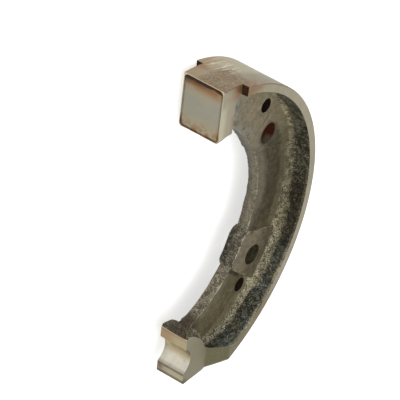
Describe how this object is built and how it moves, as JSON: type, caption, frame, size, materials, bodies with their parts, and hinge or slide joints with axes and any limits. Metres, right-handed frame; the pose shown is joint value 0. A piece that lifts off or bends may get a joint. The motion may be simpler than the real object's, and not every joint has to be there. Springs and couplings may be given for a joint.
{
  "type": "brake shoe",
  "caption": "One-piece cast brake shoe without lining: arched table on a ring web, flat cam pad at one end, half-round anchor seat at the other.",
  "frame": {"origin": "on the drum's axis, which is the centre of the lining table's arc, at mid width", "axes": "+Z along the drum's axis, +X to the crown of the shoe, +Y to the cam end"},
  "size_m": [0.068, 0.1469, 0.025],
  "materials": {
    "cast_aluminium": "as cast, with machined table edges, end faces and seat, and a thin brownish film"
  },
  "bodies": {
    "root": {"shoe_casting": "cast_aluminium"}
  },
  "joints": []
}
